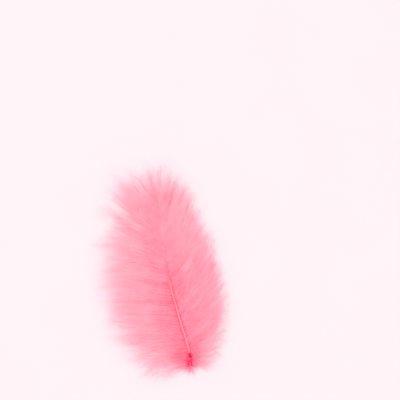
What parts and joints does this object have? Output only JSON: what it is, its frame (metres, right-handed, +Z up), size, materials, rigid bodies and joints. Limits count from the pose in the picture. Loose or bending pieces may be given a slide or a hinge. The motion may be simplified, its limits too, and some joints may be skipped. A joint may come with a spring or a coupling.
{
  "type": "cul de canard feather",
  "caption": "Loose dyed cul de canard feather: a fine quill with a wide, soft vane of downy barbs on each side, lying flat.",
  "frame": {"origin": "on the flat underside, below the feather's balance point", "axes": "+Y along the feather from the quill's butt to the vane's tip, +X across it, +Z up off the surface it lies on"},
  "size_m": [0.0362, 0.0585, 0.0039],
  "materials": {
    "down": "soft matt dyed down"
  },
  "bodies": {
    "root": {"feather": "down"}
  },
  "joints": []
}
